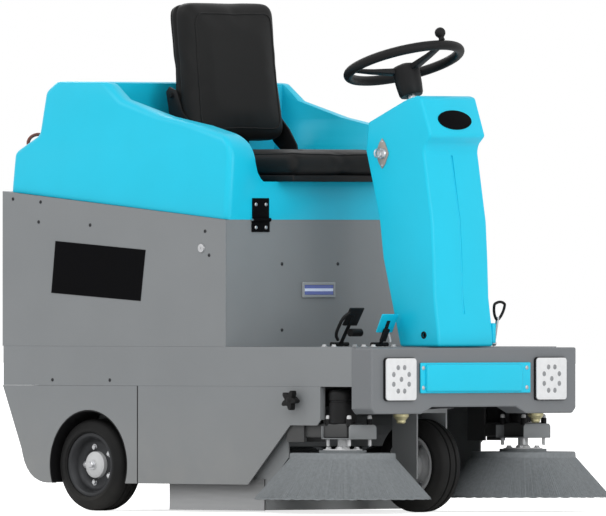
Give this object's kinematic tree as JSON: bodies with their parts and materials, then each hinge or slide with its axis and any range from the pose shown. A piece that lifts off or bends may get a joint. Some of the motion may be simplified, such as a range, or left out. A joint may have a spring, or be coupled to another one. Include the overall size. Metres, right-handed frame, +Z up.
{
  "type": "ride on sweeper",
  "caption": "Three-wheeled battery ride-on floor sweeper with side brushes, lifting hood, seat, steering console and rear dust hopper.",
  "frame": {"origin": "on the floor under the centre of the overall box", "axes": "+X forward, +Y to the driver's left, +Z up"},
  "size_m": [1.4, 1.106, 1.2902],
  "materials": {
    "grey_paint": "satin",
    "light_grey": "satin",
    "turquoise": "satin",
    "black_plastic": "matte",
    "seat_cover": "satin",
    "tyre_rubber": "matte",
    "skirt_rubber": "matte",
    "steel": "satin",
    "bristle": "matte",
    "lamp": "gloss"
  },
  "bodies": {
    "chassis": {"frame_rail_right": "grey_paint", "frame_rail_left": "grey_paint", "foot_deck": "grey_paint", "floor_plate": "grey_paint", "side_panel_right": "grey_paint", "side_panel_left": "grey_paint", "seat_box_front": "grey_paint", "rear_panel": "grey_paint", "wheel_panel_right": "grey_paint", "wheel_panel_left": "grey_paint", "front_bumper": "grey_paint", "bumper_cover": "turquoise", "headlight_right": "lamp", "headlight_left": "lamp", "steering_console": "turquoise", "steering_head": "grey_paint", "battery_pack": "black_plastic", "suction_unit": "black_plastic", "brush_chamber": "grey_paint", "hood_hinge_right": "black_plastic", "hood_hinge_left": "black_plastic", "steering_chain": "steel", "side_skirt_right": "skirt_rubber", "side_skirt_left": "skirt_rubber", "front_flap": "tyre_rubber", "main_brush_motor": "black_plastic", "wheel_bracket_right": "grey_paint", "wheel_bracket_left": "grey_paint", "arm_bracket_right": "grey_paint", "arm_bracket_left": "grey_paint"},
    "hood": {"rear_hood": "turquoise", "seat_back": "seat_cover", "seat_bracket": "black_plastic", "seat_cushion": "seat_cover"},
    "wheel": {"steering_wheel": "black_plastic"},
    "spinner": {"spinner_knob": "black_plastic"},
    "column": {"steering_column": "steel"},
    "fork": {"front_fork": "grey_paint"},
    "front_wheel": {"front_tyre": "tyre_rubber", "front_rim": "steel"},
    "rear_wheel_right": {"rear_tyre_right": "tyre_rubber", "rear_rim_right": "steel"},
    "rear_wheel_left": {"rear_tyre_left": "tyre_rubber", "rear_rim_left": "steel"},
    "main_brush": {"main_brush": "bristle"},
    "arm_right": {"side_brush_arm_right": "light_grey", "side_brush_motor_right": "black_plastic"},
    "arm_left": {"side_brush_arm_left": "light_grey", "side_brush_motor_left": "black_plastic"},
    "side_brush_right": {"side_brush_right": "bristle"},
    "side_brush_left": {"side_brush_left": "bristle"},
    "door_right": {"brush_door_right": "grey_paint"},
    "door_left": {"brush_door_left": "grey_paint"},
    "knob_right": {"door_knob_right": "black_plastic"},
    "knob_left": {"door_knob_left": "black_plastic"},
    "accelerator": {"accelerator_pedal": "black_plastic"},
    "brake": {"brake_pedal": "turquoise"},
    "lift_lever": {"brush_lift_lever": "black_plastic"},
    "key": {"key": "steel"},
    "hopper": {"dust_hopper": "black_plastic"}
  },
  "joints": [
    {"name": "hood_lift", "type": "hinge", "parent": "chassis", "child": "hood", "pos_m": [0.1085, 0, 0.742], "axis": [0, 1, 0], "range_deg": [0, 60]},
    {"name": "fork_steer", "type": "hinge", "parent": "chassis", "child": "fork", "pos_m": [0.427, 0, 0.262], "axis": [0, 0, 1], "range_deg": [-70, 70]},
    {"name": "column_turn", "type": "hinge", "parent": "chassis", "child": "column", "pos_m": [0.5, 0, 0.3], "axis": [0, 0, 1], "range_deg": [-70, 70]},
    {"name": "wheel_turn", "type": "hinge", "parent": "chassis", "child": "wheel", "pos_m": [0.5, 0, 0.74452], "axis": [-0.309, 0, 0.9511], "range_deg": [-70, 70]},
    {"name": "spinner_spin", "type": "hinge", "parent": "wheel", "child": "spinner", "pos_m": [0.5094, 0, 1.18481], "axis": [-0.309, 0, 0.9511], "continuous": true},
    {"name": "front_roll", "type": "hinge", "parent": "fork", "child": "front_wheel", "pos_m": [0.427, 0, 0.1185], "axis": [0, 1, 0], "continuous": true},
    {"name": "rear_roll_right", "type": "hinge", "parent": "chassis", "child": "rear_wheel_right", "pos_m": [-0.4025, -0.315, 0.1175], "axis": [0, 1, 0], "continuous": true},
    {"name": "rear_roll_left", "type": "hinge", "parent": "chassis", "child": "rear_wheel_left", "pos_m": [-0.4025, 0.315, 0.1175], "axis": [0, 1, 0], "continuous": true},
    {"name": "main_brush_spin", "type": "hinge", "parent": "chassis", "child": "main_brush", "pos_m": [0.06, 0, 0.131], "axis": [0, 1, 0], "continuous": true},
    {"name": "arm_drop_right", "type": "hinge", "parent": "chassis", "child": "arm_right", "pos_m": [0.345, -0.328, 0.207], "axis": [0, 1, 0], "range_deg": [0, 5.5]},
    {"name": "arm_drop_left", "type": "hinge", "parent": "chassis", "child": "arm_left", "pos_m": [0.345, 0.328, 0.207], "axis": [0, 1, 0], "range_deg": [0, 5.5]},
    {"name": "side_brush_spin_right", "type": "hinge", "parent": "arm_right", "child": "side_brush_right", "pos_m": [0.475, -0.328, 0.187], "axis": [0, 0, 1], "continuous": true},
    {"name": "side_brush_spin_left", "type": "hinge", "parent": "arm_left", "child": "side_brush_left", "pos_m": [0.475, 0.328, 0.187], "axis": [0, 0, 1], "continuous": true},
    {"name": "door_swing_right", "type": "hinge", "parent": "chassis", "child": "door_right", "pos_m": [-0.2113, -0.3725, 0.2], "axis": [0, 0, -1], "range_deg": [0, 110]},
    {"name": "door_swing_left", "type": "hinge", "parent": "chassis", "child": "door_left", "pos_m": [-0.2113, 0.3725, 0.2], "axis": [0, 0, 1], "range_deg": [0, 110]},
    {"name": "knob_turn_right", "type": "hinge", "parent": "door_right", "child": "knob_right", "pos_m": [0.352, -0.3728, 0.286], "axis": [0, 1, 0], "continuous": true},
    {"name": "knob_turn_left", "type": "hinge", "parent": "door_left", "child": "knob_left", "pos_m": [0.352, 0.3728, 0.286], "axis": [0, 1, 0], "continuous": true},
    {"name": "accelerator_press", "type": "hinge", "parent": "chassis", "child": "accelerator", "pos_m": [0.312, -0.17, 0.4265], "axis": [0, 1, 0], "range_deg": [0, 15], "stiffness_Nm_per_rad": 3, "springref_deg": -6.88},
    {"name": "brake_press", "type": "hinge", "parent": "chassis", "child": "brake", "pos_m": [0.418, -0.1365, 0.4265], "axis": [0, 1, 0], "range_deg": [0, 15], "stiffness_Nm_per_rad": 5, "springref_deg": -6.88},
    {"name": "lift_lever_pull", "type": "hinge", "parent": "chassis", "child": "lift_lever", "pos_m": [0.495, 0.2, 0.4283], "axis": [0, 1, 0], "range_deg": [0, 22]},
    {"name": "key_turn", "type": "hinge", "parent": "chassis", "child": "key", "pos_m": [0.393, -0.1003, 0.91], "axis": [0, 1, 0], "range_deg": [0, 90]},
    {"name": "hopper_slide", "type": "slide", "parent": "chassis", "child": "hopper", "axis": [-1, 0, 0], "range_m": [0, 0.4]}
  ],
  "couplings": [
    {"joint": "column_turn", "follows": "fork_steer", "ratio": 1},
    {"joint": "wheel_turn", "follows": "fork_steer", "ratio": 1},
    {"joint": "arm_drop_left", "follows": "arm_drop_right", "ratio": 1},
    {"joint": "lift_lever_pull", "follows": "arm_drop_right", "ratio": 4}
  ]
}
